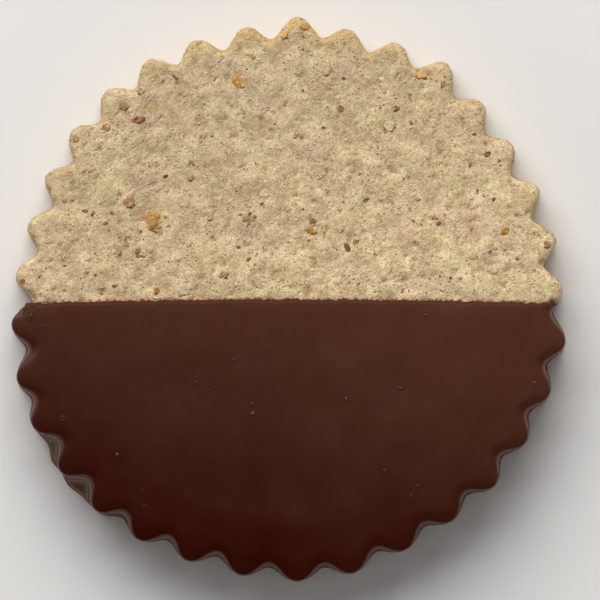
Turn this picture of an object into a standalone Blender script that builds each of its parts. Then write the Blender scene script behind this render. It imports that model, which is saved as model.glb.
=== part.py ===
"""Hazelnut shortbread, a thick round biscuit with a fluted edge, half dipped in chocolate.

Run with: blender --background --python part.py

The biscuit lies as it set on a flat tray: the chocolate under its dipped half has a flat
underside, so that half is lifted a little and the far bare edge touches down.
X runs along the dip line, +Y points to the bare edge, +Z is up. Units are metres.
"""

import math
import random

import bmesh
import bpy
from mathutils import Matrix, Vector, noise

MM = 0.001

# The biscuit.
FLUTES = 33
MEAN_RADIUS = 33.7 * MM  # half way between the lobe tips and the valleys
FLUTE_DEPTH = 2.1 * MM  # from a lobe's tip in to a valley's bottom
LOBE_BREADTH = 0.15  # how much rounder than a plain wave the lobes are
THICKNESS = 9.5 * MM
TOP_ROUND = 1.3 * MM  # radius of the upper edge
BASE_ROUND = 0.5 * MM
SIDE_SLOPE = 0.25 * MM  # how much further out the side stands at its base
DOME_DROP = 0.25 * MM  # how far the top falls towards its edge
DOME_REACH = 6.0 * MM
FLUTE_FADE = 3.6 * MM  # how far in from the edge the flutes still shape the top
RELIEF = 0.16 * MM  # height of the top's soft unevenness
RELIEF_SPAN = 7.0 * MM
FIRST_LOBE = math.radians(1.2)
LOBE_SLIP = math.radians(-3.1)  # the flutes lag by this much near LOBE_SLIP_AT
LOBE_SLIP_AT = math.radians(250)
LOBE_SLIP_REACH = math.radians(45)
LOBE_UNEVENNESS = 0.14 * MM
SEED = 33

# Where the outline swells or draws in: (angle and reach in degrees, millimetres).
SWELLS = (
    (30, 16, -0.5),
    (56, 6, 0.85),
    (87, 5, 0.75),
    (104, 8, -0.35),
    (129, 10, 0.2),
    (159, 12, -0.45),
    (178, 7, 0.25),
)

# The chocolate. Its foot is the low skirt that it runs out to on the tray.
GAP = 0.3 * MM  # clearance that keeps the two solids apart
COAT_ABOVE = 0.9 * MM  # how far the coat's top stands above the biscuit
COAT_AT_EDGE = 0.8 * MM  # the same at the dip line, where the coat thins
EDGE_REACH = 1.6 * MM
COAT_AT_TIPS = 0.6 * MM
COAT_IN_VALLEYS = 0.9 * MM
COAT_ROUND = 0.7 * MM
FOOT_AT_TIPS = 0.2 * MM  # how far the foot spreads past the wall above it
FOOT_IN_VALLEYS = 0.55 * MM
FOOT_HEIGHT = 2.0 * MM
THICK_PLACES = (  # where the coat stands out further, given as SWELLS is
    (203, 8, 1.2),
    (216.5, 5, 0.33),
    (230, 20, 1.25),
    (275, 16, 0.9),
)
PUDDLE = 1.93 * MM  # how much more it fills the valleys near PUDDLE_AT
PUDDLE_AT = math.radians(219)
PUDDLE_REACH = math.radians(9)
WAVES = 0.06 * MM  # height of the coat's slow ripples
WAVES_SPAN = 9.0 * MM
DIP_LINE = -0.5 * MM  # where the chocolate ends, beside the biscuit's middle
DIP_ARCH = 0.5 * MM  # how much lower the line is at its two ends
DIP_RIPPLE = 0.12 * MM
DIP_RIPPLE_SPAN = 2.5 * MM
TILT = math.radians(1.0)

# Hazelnut pieces that show on top: (x, y, length, breadth) in mm, and the turn in degrees.
NUT_PIECES = (
    (-18.0, 9.8, 2.6, 2.1, 60),
    (-6.4, 27.1, 2.1, 1.5, -60),
    (1.7, 33.4, 1.7, 1.4, 0),
    (17.0, 28.0, 1.9, 1.2, 15),
    (-10.3, 10.1, 1.9, 1.3, -10),
    (-5.4, 9.7, 1.4, 1.3, 0),
    (7.4, 5.8, 1.6, 1.2, -20),
    (9.8, 11.9, 1.6, 1.1, -60),
    (13.3, 23.8, 1.5, 1.4, 0),
    (25.4, 18.1, 1.9, 1.3, 30),
    (-19.1, 22.3, 2.2, 1.3, 10),
    (-18.9, 5.6, 1.5, 1.2, 70),
    (3.0, 8.8, 1.9, 1.3, 80),
)
NUT_RISE = 0.22 * MM  # how far a piece stands out of the crumb
NUT_DEPTH = 0.45 * MM  # half the height of a piece
SIDE_NUTS = 12  # pieces that show in the bare side
SIDE_NUT_SIZE = 1.5 * MM

# How finely the solids are faceted.
RIM_STEPS = FLUTES * 6
TOP_RINGS = 8
TOP_RINGS_END = FLUTE_FADE + 1.0 * MM  # how far in from the edge the last of them lies
ROUND_STEPS = 3  # rings round an upper edge
BASE_ROUND_STEPS = 2
DIP_STEPS = 44


def smooth_step(share):
    """0 below 0, 1 above 1, with soft ends."""
    share = min(1.0, max(0.0, share))
    return share * share * (3 - 2 * share)


def bell(angle, middle, reach):
    """1 at the middle angle, falling to 0 over about twice the reach."""
    away = math.remainder(angle - middle, math.tau)
    return math.exp(-((away / reach) ** 2))


def swell(angle, places):
    """How far out the places of (angle, reach, millimetres) push an outline here."""
    near = [bell(angle, math.radians(at), math.radians(reach)) for at, reach, _ in places]
    return MM * sum(share * most for share, (_, _, most) in zip(near, places))


def lobe_heights():
    """How far each lobe's tip stands out or in from an even one."""
    draw = random.Random(SEED)
    return [draw.uniform(-LOBE_UNEVENNESS, LOBE_UNEVENNESS) for _ in range(FLUTES)]


LOBE_HEIGHTS = lobe_heights()


def edge_point(turn, inset, tips=0.0, valleys=0.0):
    """The point this far in from the edge, at a share of the whole turn round it.

    tips and valleys move the edge out at the lobes and between them. Further in, the
    outline fades to a plain circle, and at the full radius inset to the middle.
    """
    angle = math.tau * turn
    angle += FIRST_LOBE + LOBE_SLIP * bell(angle, LOBE_SLIP_AT, LOBE_SLIP_REACH)
    wave = math.cos(math.tau * FLUTES * turn)
    tip_share = (1 + wave) / 2
    shape = FLUTE_DEPTH / 2 * (wave + LOBE_BREADTH * (1 - wave * wave))
    shape += tip_share * (LOBE_HEIGHTS[round(turn * FLUTES) % FLUTES] + tips)
    shape += (1 - tip_share) * valleys + swell(angle, SWELLS)
    fading = 1 - smooth_step(inset / FLUTE_FADE)
    radius = MEAN_RADIUS - inset + fading * shape
    return Vector((math.cos(angle), math.sin(angle))) * radius


def lift(y):
    """Height of the biscuit's underside over the tray: nothing at its far bare edge."""
    far_edge = MEAN_RADIUS + FLUTE_DEPTH / 2
    return (far_edge - y) * math.tan(TILT)


def crumb_height(spot, inset):
    """How far the biscuit's top differs from a flat one: a soft dome with low bumps."""
    inside = smooth_step(inset / DOME_REACH)
    bumps = noise.noise(Vector((spot.x, spot.y, 0)) / RELIEF_SPAN)
    return RELIEF * inside * bumps - DOME_DROP * (1 - inside)


def biscuit_height(spot, inset, height):
    """Height over the tray of a point at this height in the biscuit."""
    on_top = max(0.0, height / THICKNESS * 2 - 1)
    return lift(spot.y) + height + on_top * crumb_height(spot, inset)


def dip_line(x):
    """Y of the chocolate's edge at this x."""
    arch = DIP_ARCH * (x / MEAN_RADIUS) ** 2
    ripple = noise.noise(Vector((x / DIP_RIPPLE_SPAN, 0, 0)))
    return DIP_LINE - arch + DIP_RIPPLE * ripple


def coat_height(spot, inset, share):
    """Height over the tray of the coat's outside, at a share of its full height."""
    back = smooth_step((dip_line(spot.x) - spot.y) / EDGE_REACH)
    above = COAT_AT_EDGE + (COAT_ABOVE - COAT_AT_EDGE) * back
    above += WAVES * noise.noise(Vector((spot.x, spot.y, THICKNESS)) / WAVES_SPAN)
    top = biscuit_height(spot, inset, THICKNESS) + above
    return share * top


def quarter(steps):
    """Angles of a quarter turn, both ends included."""
    return [math.pi / 2 * i / steps for i in range(steps + 1)]


def disc_mesh(name, rings):
    """A closed mesh through rings of (count, place), from the top's middle to its flat base.

    It is laid out flat, with ring n at radius n and the top's middle at 0. Then
    place(turn) puts each ring's points where they belong, and the last ring is filled.
    """
    bm = bmesh.new()
    count = rings[1][0]
    bmesh.ops.create_circle(bm, cap_ends=True, cap_tris=True, segments=count, radius=1)
    for level, (count, _) in enumerate(rings[2:], start=2):
        rim = [edge for edge in bm.edges if edge.is_boundary]
        if count > len(rim):
            bmesh.ops.subdivide_edges(bm, edges=rim, cuts=count // len(rim) - 1)
            rim = [edge for edge in bm.edges if edge.is_boundary]
        grown = bmesh.ops.extrude_edge_only(bm, edges=rim)["geom"]
        for vertex in grown:
            if isinstance(vertex, bmesh.types.BMVert):
                vertex.co *= level / (level - 1)
    for vertex in bm.verts:
        turn = math.atan2(vertex.co.y, vertex.co.x) / math.tau
        vertex.co = rings[round(vertex.co.length)][1](turn)
    rim = [edge for edge in bm.edges if edge.is_boundary]
    bmesh.ops.edgeloop_fill(bm, edges=rim)
    bmesh.ops.triangulate(bm, faces=bm.faces[:])
    bmesh.ops.recalc_face_normals(bm, faces=bm.faces[:])
    mesh = bpy.data.meshes.new(name)
    bm.to_mesh(mesh)
    bm.free()
    return mesh


def top_rings(place):
    """The rings of place(turn, inset) from a top's middle out to where the flutes begin."""
    found = []
    for i in range(TOP_RINGS + 1):
        inset = MEAN_RADIUS - (MEAN_RADIUS - TOP_RINGS_END) * i / TOP_RINGS
        count = FLUTES if i * 2 <= TOP_RINGS else FLUTES * 2
        found.append((count, lambda turn, inset=inset: place(turn, inset)))
    return found


def biscuit_form(name, grow=0.0):
    """The biscuit's mesh, grown by this much all over."""
    top, base = THICKNESS + grow, -grow

    def at(turn, inset, height):
        spot = edge_point(turn, inset - grow)
        return (spot.x, spot.y, biscuit_height(spot, inset, height))

    rim = [(FLUTE_FADE, top)]
    for angle in quarter(ROUND_STEPS):
        inset = SIDE_SLOPE + TOP_ROUND * (1 - math.sin(angle))
        rim.append((inset, top - TOP_ROUND * (1 - math.cos(angle))))
    for angle in quarter(BASE_ROUND_STEPS):
        inset = BASE_ROUND * (1 - math.cos(angle))
        rim.append((inset, base + BASE_ROUND * (1 - math.sin(angle))))
    rings = top_rings(lambda turn, inset: at(turn, inset, top))
    for inset, height in rim:
        rings.append((RIM_STEPS, lambda turn, i=inset, h=height: at(turn, i, h)))
    return disc_mesh(name, rings)


def coat_form(name):
    """The mesh of the coat's outside. Its base is cut off flat at the tray afterwards."""

    def at(turn, inset, share, spread=0.0):
        angle = math.tau * turn
        pool = PUDDLE * bell(angle, PUDDLE_AT, PUDDLE_REACH)
        flow = swell(angle, THICK_PLACES)
        tips = COAT_AT_TIPS + flow + spread * FOOT_AT_TIPS
        valleys = COAT_IN_VALLEYS + flow + spread * (FOOT_IN_VALLEYS + pool)
        spot = edge_point(turn, inset, tips, valleys)
        return (spot.x, spot.y, coat_height(spot, inset, share))

    full = THICKNESS + COAT_ABOVE + lift(-MEAN_RADIUS / 2)
    rim = [(FLUTE_FADE, 1.0, 0.0)]
    for angle in quarter(ROUND_STEPS):
        drop = COAT_ROUND * (1 - math.cos(angle))
        rim.append((COAT_ROUND * (1 - math.sin(angle)), 1 - drop / full, 0.0))
    for height, spread in ((1.0, 0.0), (0.5, 0.3), (0.2, 1.0), (-0.5, 1.0)):
        rim.append((0.0, FOOT_HEIGHT * height / full, spread))
    rings = top_rings(lambda turn, inset: at(turn, inset, 1.0))
    for inset, share, spread in rim:
        rings.append((RIM_STEPS, lambda turn, i=inset, s=share, w=spread: at(turn, i, s, w)))
    return disc_mesh(name, rings)


def dip_block():
    """A block that holds all the chocolate: its front is the dip line, its foot the tray."""
    bm = bmesh.new()
    reach = MEAN_RADIUS * 1.5
    grid = bmesh.ops.create_grid(bm, x_segments=DIP_STEPS, y_segments=1, size=reach)
    for vertex in grid["verts"]:
        vertex.co.y = dip_line(vertex.co.x) if vertex.co.y > 0 else -reach
        vertex.co.z = 0.0
    top = bmesh.ops.extrude_face_region(bm, geom=bm.faces[:])["geom"]
    raised = [v for v in top if isinstance(v, bmesh.types.BMVert)]
    bmesh.ops.translate(bm, verts=raised, vec=(0, 0, 3 * THICKNESS))
    bmesh.ops.recalc_face_normals(bm, faces=bm.faces[:])
    mesh = bpy.data.meshes.new("dip_block")
    bm.to_mesh(mesh)
    bm.free()
    return mesh


def add_object(name, mesh, collection, parent, material=None):
    """Links a mesh to the collection, or to the cutters if it has no material."""
    obj = bpy.data.objects.new(name, mesh)
    collection.objects.link(obj)
    obj.parent = parent
    if material:
        mesh.materials.append(material)
        mesh.shade_smooth()
        mesh.set_sharp_from_angle(angle=math.radians(50))
    else:
        obj.hide_render = True
        obj.display_type = "WIRE"
    return obj


def nut_mesh(name, half_sizes, turn, centre, draw):
    """One angular chip of hazelnut with uneven corners."""
    bm = bmesh.new()
    made = bmesh.ops.create_icosphere(bm, subdivisions=1, radius=1)
    for vertex in made["verts"]:
        vertex.co *= draw.uniform(0.85, 1.15)
    bmesh.ops.scale(bm, vec=half_sizes, verts=made["verts"])
    bmesh.ops.rotate(bm, matrix=turn, verts=made["verts"])
    bmesh.ops.translate(bm, vec=centre, verts=made["verts"])
    mesh = bpy.data.meshes.new(name)
    bm.to_mesh(mesh)
    bm.free()
    return mesh


def add_nuts(collection, parent):
    """Chips on the bare top and in the bare side, as far out of the crumb as real ones."""
    draw = random.Random(SEED)
    for i, (x, y, length, breadth, degrees) in enumerate(NUT_PIECES):
        spot = Vector((x, y)) * MM
        height = biscuit_height(spot, DOME_REACH, THICKNESS) + NUT_RISE - NUT_DEPTH
        halves = (length * MM / 2, breadth * MM / 2, NUT_DEPTH)
        turn = Matrix.Rotation(math.radians(degrees), 3, "Z")
        mesh = nut_mesh(f"nut_{i}", halves, turn, (spot.x, spot.y, height), draw)
        add_object(f"nut_{i}", mesh, collection, parent)
    for i in range(SIDE_NUTS):
        lobe = round((i + draw.uniform(0.2, 0.8)) / SIDE_NUTS * FLUTES / 2)
        place = (lobe + draw.uniform(-0.2, 0.2)) / FLUTES
        half = SIDE_NUT_SIZE / 2 * draw.uniform(0.75, 1.2)
        spot = edge_point(place, half - NUT_RISE)
        height = lift(spot.y) + THICKNESS * draw.uniform(0.3, 0.7)
        turn = Matrix.Rotation(draw.uniform(0, math.pi), 3, "X")
        halves = (half, half, half * 0.8)
        mesh = nut_mesh(f"side_nut_{i}", halves, turn, (spot.x, spot.y, height), draw)
        add_object(f"side_nut_{i}", mesh, collection, parent)


def material(name, colour, roughness):
    made = bpy.data.materials.new(name)
    made.use_nodes = True
    shader = made.node_tree.nodes["Principled BSDF"]
    shader.inputs["Base Color"].default_value = (*colour, 1)
    shader.inputs["Roughness"].default_value = roughness
    shader.inputs["Metallic"].default_value = 0.0
    made.diffuse_color = (*colour, 1)
    return made


def add_boolean(obj, operation, other):
    """Cuts with an object by the solver that leaves no crack along these thin walls."""
    modifier = obj.modifiers.new(operation.lower(), "BOOLEAN")
    modifier.operation = operation
    modifier.solver = "MANIFOLD"
    modifier.object = other


def fuse(obj, collection):
    """Joins a collection's objects to this one for good, and removes them."""
    modifier = obj.modifiers.new("union", "BOOLEAN")
    modifier.operation = "UNION"
    modifier.operand_type = "COLLECTION"
    modifier.collection = collection
    graph = bpy.context.evaluated_depsgraph_get()
    made = bpy.data.meshes.new_from_object(obj.evaluated_get(graph))
    obj.modifiers.clear()
    obj.data = made
    for piece in list(collection.objects):
        bpy.data.objects.remove(piece)


def centre_on_origin(parent, pieces):
    """Moves the whole so that the origin is under the middle of its box."""
    graph = bpy.context.evaluated_depsgraph_get()
    points = []
    for piece in pieces:
        shape = piece.evaluated_get(graph)
        points += [shape.matrix_world @ v.co for v in shape.data.vertices]
    middle = [(min(p[i] for p in points) + max(p[i] for p in points)) / 2 for i in (0, 1)]
    parent.location = (-middle[0], -middle[1], -min(p.z for p in points))


def main():
    for old in list(bpy.data.objects):
        bpy.data.objects.remove(old)
    parts = bpy.data.collections.new("shortbread")
    cutters = bpy.data.collections.new("cutters")
    nuts = bpy.data.collections.new("nuts")
    for collection in (parts, cutters, nuts):
        bpy.context.scene.collection.children.link(collection)
    whole = bpy.data.objects.new("shortbread", None)
    parts.objects.link(whole)

    crumb = material("shortbread_crumb", (0.60, 0.47, 0.30), 0.9)
    chocolate = material("chocolate", (0.060, 0.022, 0.013), 0.35)

    biscuit = add_object("biscuit", biscuit_form("biscuit"), parts, whole, crumb)
    add_nuts(nuts, whole)
    fuse(biscuit, nuts)

    pocket = add_object("pocket", biscuit_form("pocket", GAP), cutters, whole)
    block = add_object("dip_block", dip_block(), cutters, whole)
    coat = add_object("chocolate_coat", coat_form("chocolate_coat"), parts, whole, chocolate)
    add_boolean(coat, "INTERSECT", block)
    add_boolean(coat, "DIFFERENCE", pocket)
    centre_on_origin(whole, (biscuit, coat))


main()
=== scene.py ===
"""Hazelnut shortbread: a thick fluted round, one half bare and one half in dark chocolate.

X runs along the dip line, +Y points to the bare edge, +Z is up. Units are metres.
"""

import math
import random

import bmesh
import bpy
from mathutils import Matrix, Vector, kdtree, noise
from mathutils.bvhtree import BVHTree


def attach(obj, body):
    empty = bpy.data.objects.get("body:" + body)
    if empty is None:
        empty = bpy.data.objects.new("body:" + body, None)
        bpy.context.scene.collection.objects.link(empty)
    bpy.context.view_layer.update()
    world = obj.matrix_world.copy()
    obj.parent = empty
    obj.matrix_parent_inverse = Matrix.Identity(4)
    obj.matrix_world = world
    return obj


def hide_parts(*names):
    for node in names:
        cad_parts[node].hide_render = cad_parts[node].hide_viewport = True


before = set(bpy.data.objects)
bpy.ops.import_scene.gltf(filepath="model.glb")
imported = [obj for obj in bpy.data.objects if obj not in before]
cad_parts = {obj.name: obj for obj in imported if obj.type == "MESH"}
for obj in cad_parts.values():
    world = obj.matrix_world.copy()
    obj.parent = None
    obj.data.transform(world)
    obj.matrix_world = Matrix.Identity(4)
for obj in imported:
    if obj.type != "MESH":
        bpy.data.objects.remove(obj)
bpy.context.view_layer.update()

MM = 0.001
CENTRE = Vector((0.103, 0.497, 0.001)) * MM  # the round's middle, in the part's frame

# The biscuit's form, as in the source of the solids.
FLUTES = 33
MEAN_RADIUS = 33.7 * MM
FLUTE_DEPTH = 2.1 * MM
LOBE_BREADTH = 0.15  # how much fuller the lobes are than an even wave
THICKNESS = 9.5 * MM
TOP_ROUND = 1.3 * MM
BASE_ROUND = 0.5 * MM
SIDE_SLOPE = 0.25 * MM  # how much wider the base is than the top
DOME_DROP = 0.25 * MM  # how far the top sinks towards its rim
DOME_REACH = 6.0 * MM
FLUTE_FADE = 3.6 * MM  # how far in from the edge the flutes fade out
RELIEF = 0.16 * MM  # height of the slow bumps on top
RELIEF_SPAN = 7.0 * MM
FIRST_LOBE = math.radians(1.2)
LOBE_SLIP = math.radians(-3.1)  # how far the lobes have slid round near one place
LOBE_SLIP_AT = math.radians(250)
LOBE_SLIP_REACH = math.radians(45)
LOBE_UNEVENNESS = 0.14 * MM
TILT = math.radians(1.0)
SEED = 33
# Where the outline swells or sinks: (angle and reach in degrees, how far out in mm).
SWELLS = (
    (30, 16, -0.5),
    (56, 6, 0.85),
    (87, 5, 0.75),
    (104, 8, -0.35),
    (129, 10, 0.2),
    (159, 12, -0.45),
    (178, 7, 0.25),
)

# The chocolate's form.
COAT_ABOVE = 0.9 * MM  # how far the coat's top stands above the biscuit
COAT_AT_EDGE = 0.85 * MM  # the same at the dip line
EDGE_REACH = 1.6 * MM
COAT_AT_TIPS = 0.6 * MM
COAT_IN_VALLEYS = 0.9 * MM
ROUND_AT_TIPS = 0.36 * MM
ROUND_IN_VALLEYS = 0.65 * MM
ROUND_AT_PUDDLE = 0.4 * MM  # how much wider the rounding is in the valleys by the puddle
SHOULDER = 0.2 * MM  # how far the top sinks towards the edge before it rounds over
SHOULDER_REACH = 1.7 * MM
THIN_END = 0.35  # share of the side's thickness left at the dip line
THIN_END_REACH = 2.4 * MM
FOOT_AT_TIPS = 0.2 * MM
FOOT_IN_VALLEYS = 0.55 * MM
FOOT_HEIGHT = 2.0 * MM
FOOT_ROUND = 0.3 * MM
# Where the coat is thicker on the side, given in the same way.
THICK_PLACES = (
    (203, 8, 1.2),
    (216.5, 5, 0.33),
    (230, 20, 1.25),
    (275, 16, 0.9),
)
PUDDLE = 1.93 * MM  # how far it has run out at the foot between two lobes
PUDDLE_AT = math.radians(219)
PUDDLE_REACH = math.radians(9)
WAVES = 0.04 * MM  # height of the slow ripples on top
WAVES_SPAN = 9.0 * MM
DIP_LINE = -0.5 * MM
DIP_ARCH = 0.5 * MM
DIP_RIPPLE = 0.12 * MM
DIP_RIPPLE_SPAN = 2.5 * MM
RUNS = 0.2 * MM
RUNS_SPAN = 1.3 * MM
NICKS_SPAN = 0.45 * MM
LIP = 0.07 * MM  # how far the coat's rounded lip reaches over its last stretch
SUNK = 0.15 * MM  # how deep the coat's inner wall lies in the crumb
THIN_REACH = 0.45 * MM  # how far behind the lip the chocolate looks thin
FOOT_SHEEN_FROM = 1.4 * MM  # up to this height the foot has its full painted reflection
FOOT_SHEEN_FADE = 1.8 * MM  # over this much more height the painted reflection fades out
# Where the rows of the inner wall lie along Y, in mm.
POCKET_ROWS = (-1.2, -4, -8, -13, -18, -23, -27, -30, -31.6)

# The bare crumb's relief: heights in mm, and how far apart the bumps of each kind lie.
LUMPS = 0.15
LUMPS_SPAN = 2.4 * MM
GRAINS = 0.12
GRAINS_SPAN = 0.62 * MM
GRAIN_REACH = 0.42  # as a share of the span, where a grain is level with the face
PITS = 0.18
PITS_SPAN = 0.75 * MM
CRACKS = 0.15
CRACKS_SPAN = 3.1 * MM
CRACKED_SPAN = 6 * MM  # the size of the places with cracks, and of those without
CRACK_WIDTH = 0.045  # as a share of the cracks' span
BARE_FADE = 0.5 * MM  # over what stretch the relief fades out under the coat
CHIP_MOAT = 0.06 * MM  # how far the crumb has sunk round a large chip

# How baked the crumb is: most on the far bare edge and on the side.
BAKED_RIM = 0.12
BAKED_FAR_RIM = 0.75
BAKED_RIM_REACH = 2.6 * MM
BAKED_SIDE = 0.6
BAKED_SIDE_FROM = 4.0 * MM  # below the top
BAKED_SIDE_FADE = 3.2 * MM
STAIN_REACH = 1.1 * MM  # how far from the dip line the crumb is darker

# Chips of hazelnut that show on top: (x, y, length, breadth) in mm, and the turn in degrees.
AMBER_CHIPS = (
    (-6.3, 27.5, 2.0, 1.4, -50), (-17.9, 10.2, 3.4, 3.3, -30), (2.1, 34.6, 1.3, 1.0, 0),
    (16.9, 28.4, 1.5, 1.0, 15), (1.2, 20.8, 1.3, 0.8, -20), (-16.7, 1.1, 1.0, 0.8, 70),
    (3.0, 8.8, 1.4, 1.0, -20), (27.5, 8.7, 1.1, 0.8, 20), (-16.7, 9.0, 1.4, 0.8, 60),
    (-0.5, 33.5, 1.1, 0.8, 70),
)
GOLDEN_CHIPS = (
    (-10.3, 10.6, 1.6, 1.1, -10), (-17.3, 24.2, 1.4, 1.0, -15), (-10.7, 4.6, 1.1, 0.9, 0),
    (23.3, 5.5, 1.1, 0.9, 40), (1.3, 28.9, 1.0, 0.8, 10), (4.7, 28.8, 1.0, 0.8, -30),
    (9.1, 32.7, 1.3, 0.9, 60),
)
RED_CHIPS = (
    (-19.1, 22.8, 2.0, 0.8, 10), (13.6, 24.2, 1.0, 0.8, 30),
    (6.6, 24.2, 0.9, 0.8, -40), (-18.8, 5.9, 1.4, 1.0, 60), (3.1, 9.9, 0.9, 0.6, 0),
    (-33.7, 2.3, 0.8, 0.6, 20),
)
BROWN_CHIPS = (
    (-20.2, 12.3, 1.7, 1.5, 0), (-20.2, 7.5, 2.0, 1.5, 80), (-18.6, 26.4, 1.1, 0.9, 20),
    (-23.1, 21.8, 1.1, 0.9, -30), (-27.0, 20.4, 1.0, 0.9, 0), (-12.4, 15.5, 1.0, 0.9, 50),
    (-8.2, 3.1, 1.1, 0.9, 10), (32.8, 7.0, 1.0, 0.9, 80), (19.7, 27.3, 1.0, 0.8, -20),
    (-20.9, 24.5, 1.3, 1.0, 10), (-5.4, 10.3, 0.9, 0.8, 0), (-4.8, 9.9, 0.9, 0.8, 30),
)
PALE_CHIPS = (
    (12.8, 22.0, 1.5, 1.5, 0), (-3.0, 13.5, 1.5, 1.1, 20), (-13.2, 1.2, 1.9, 1.5, 10),
    (6.5, 9.0, 1.1, 1.0, 0), (-4.4, 29.8, 1.0, 0.9, 30), (2.1, 25.6, 0.9, 0.8, 0),
    (11.8, 28.0, 0.9, 0.8, 60), (-3.7, 1.8, 1.0, 0.8, 0), (11.2, 1.2, 0.9, 0.6, 0),
)
DARK_CHIPS = (
    (1.8, 31.7, 0.6, 0.5, 20), (7.0, 28.0, 0.6, 0.5, 0), (1.8, 26.4, 0.6, 0.5, 60),
    (4.4, 21.7, 0.6, 0.5, 0), (7.4, 6.4, 1.4, 1.0, -60), (9.8, 12.6, 0.8, 0.5, 30),
    (18.9, 9.7, 0.8, 0.5, 0), (25.5, 6.0, 0.6, 0.5, -30), (-24.5, 3.1, 0.5, 0.5, 0),
    (32.6, 8.9, 0.6, 0.5, 80), (23.5, 20.9, 0.6, 0.5, 0), (-20.6, 24.0, 0.5, 0.4, 10),
    (-6.0, 10.7, 0.5, 0.4, 0), (-4.9, 10.8, 0.6, 0.4, 40), (-4.3, 10.5, 0.5, 0.4, 10),
    (-5.2, 9.3, 0.5, 0.4, 70), (-3.4, 12.1, 0.6, 0.4, 40), (25.2, 18.4, 1.1, 0.8, 20),
    (26.0, 12.7, 0.6, 0.45, 60),
    (23.0, 17.0, 0.8, 0.35, 70), (23.9, 13.7, 0.8, 0.35, 80), (-15.5, 15.6, 0.9, 0.4, 20),
    (-14.4, 28.2, 0.9, 0.4, -40), (-25.8, 11.2, 0.9, 0.4, 0), (-24.8, 10.9, 0.8, 0.4, 60),
    (-23.1, 9.7, 0.9, 0.4, 30), (-22.0, 1.7, 0.9, 0.4, 10), (-23.7, 0.6, 0.9, 0.4, -20),
    (-5.1, 5.0, 0.9, 0.4, 50), (-6.4, 6.6, 0.8, 0.4, 0),
)
# Small beads in the chocolate, given in the same way.
BEADS = (
    (-21.7, -19.7, 0.6, 0.6, 0), (-4.5, -14.4, 0.6, 0.5, 0), (7.3, -12.6, 0.5, 0.5, 0),
    (12.1, -21.6, 0.5, 0.5, 0), (15.5, -24.8, 0.5, 0.5, 0), (14.1, -11.2, 0.5, 0.4, 0),
    (16.3, -23.6, 0.4, 0.4, 0), (17.4, -2.0, 0.5, 0.4, 0), (31.1, -10.6, 0.5, 0.5, 0),
    (-30.8, -3.3, 0.35, 0.3, 0), (-6.9, -7.7, 0.5, 0.4, 0), (-11.6, -10.5, 0.4, 0.4, 0),
    (-9.2, -11.1, 0.4, 0.4, 0), (-4.6, -13.2, 0.6, 0.4, 0),
)
# Hair-fine scratches and the trace of a burst bubble, given in the same way.
SCRATCHES = (
    (-31.2, -2.0, 1.8, 0.12, 82), (-31.5, -3.9, 2.0, 0.12, 88), (-18.56, -25.81, 0.85, 0.12, -50),
    (-18.5, -26.34, 0.6, 0.12, 45), (-18.08, -26.06, 0.5, 0.12, 0), (-18.5, -24.1, 0.8, 0.12, 90),
    (-28.55, -14.78, 0.6, 0.12, 5), (-28.88, -15.0, 0.5, 0.12, 75), (-28.6, -15.25, 0.5, 0.12, -5),
    (-28.15, -14.9, 0.35, 0.12, -60),
)

# Lumps of crumb that show through the chocolate at the left end of the dip line, in mm.
CORNER = (-33.15, -1.45)
CORNER_SPREAD = (0.46, 0.5)
CORNER_LUMPS = 64


# ---------------------------------------------------------------- the fluted form


def smooth_step(share):
    """0 below 0, 1 above 1, with soft ends."""
    share = min(1.0, max(0.0, share))
    return share * share * (3 - 2 * share)


def bell(angle, middle, reach):
    """1 at the middle angle, falling to 0 over about twice the reach."""
    away = math.remainder(angle - middle, math.tau)
    return math.exp(-((away / reach) ** 2))


def swell(angle, places):
    """How far out the listed places push an outline at this angle."""
    return MM * sum(
        bell(angle, math.radians(at), math.radians(near)) * most for at, near, most in places
    )


def lobe_heights():
    """How far each lobe's tip stands out or in from an even one."""
    draw = random.Random(SEED)
    return [draw.uniform(-LOBE_UNEVENNESS, LOBE_UNEVENNESS) for _ in range(FLUTES)]


LOBE_HEIGHTS = lobe_heights()


def lobe_wave(angle):
    """(the angle from the first lobe with all lobes even, 1 at a tip to -1 in a valley)."""
    start = angle - FIRST_LOBE
    for _ in range(4):
        start = angle - FIRST_LOBE - LOBE_SLIP * bell(start, LOBE_SLIP_AT, LOBE_SLIP_REACH)
    return start, math.cos(FLUTES * start)


def fluted(angle, inset, tips=0.0, valleys=0.0):
    """The point this far in from the edge at an angle round the middle.

    tips and valleys move the edge out at the lobes and between them.
    """
    start, wave = lobe_wave(angle)
    tip_share = (1 + wave) / 2
    shape = FLUTE_DEPTH / 2 * (wave + LOBE_BREADTH * (1 - wave * wave))
    shape += tip_share * (LOBE_HEIGHTS[round(start / math.tau * FLUTES) % FLUTES] + tips)
    shape += (1 - tip_share) * valleys + swell(angle, SWELLS)
    fading = 1 - smooth_step(inset / FLUTE_FADE)
    radius = MEAN_RADIUS - inset + fading * shape
    return Vector((math.cos(angle) * radius, math.sin(angle) * radius, 0.0))


def lift(y):
    """Height of the biscuit's underside over the table: nothing at its far bare edge."""
    return (MEAN_RADIUS + FLUTE_DEPTH / 2 - y) * math.tan(TILT)


def biscuit_height(spot, inset, height):
    """Height over the table of a point at this height in the biscuit."""
    inside = smooth_step(inset / DOME_REACH)
    bumps = noise.noise(Vector((spot.x, spot.y, 0)) / RELIEF_SPAN)
    on_top = max(0.0, height / THICKNESS * 2 - 1)
    return lift(spot.y) + height + on_top * (RELIEF * inside * bumps - DOME_DROP * (1 - inside))


def dip_line(x):
    """Y of the chocolate's edge at this x."""
    arch = DIP_ARCH * (x / MEAN_RADIUS) ** 2
    return DIP_LINE - arch + DIP_RIPPLE * noise.noise(Vector((x / DIP_RIPPLE_SPAN, 0, 0)))


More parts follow.
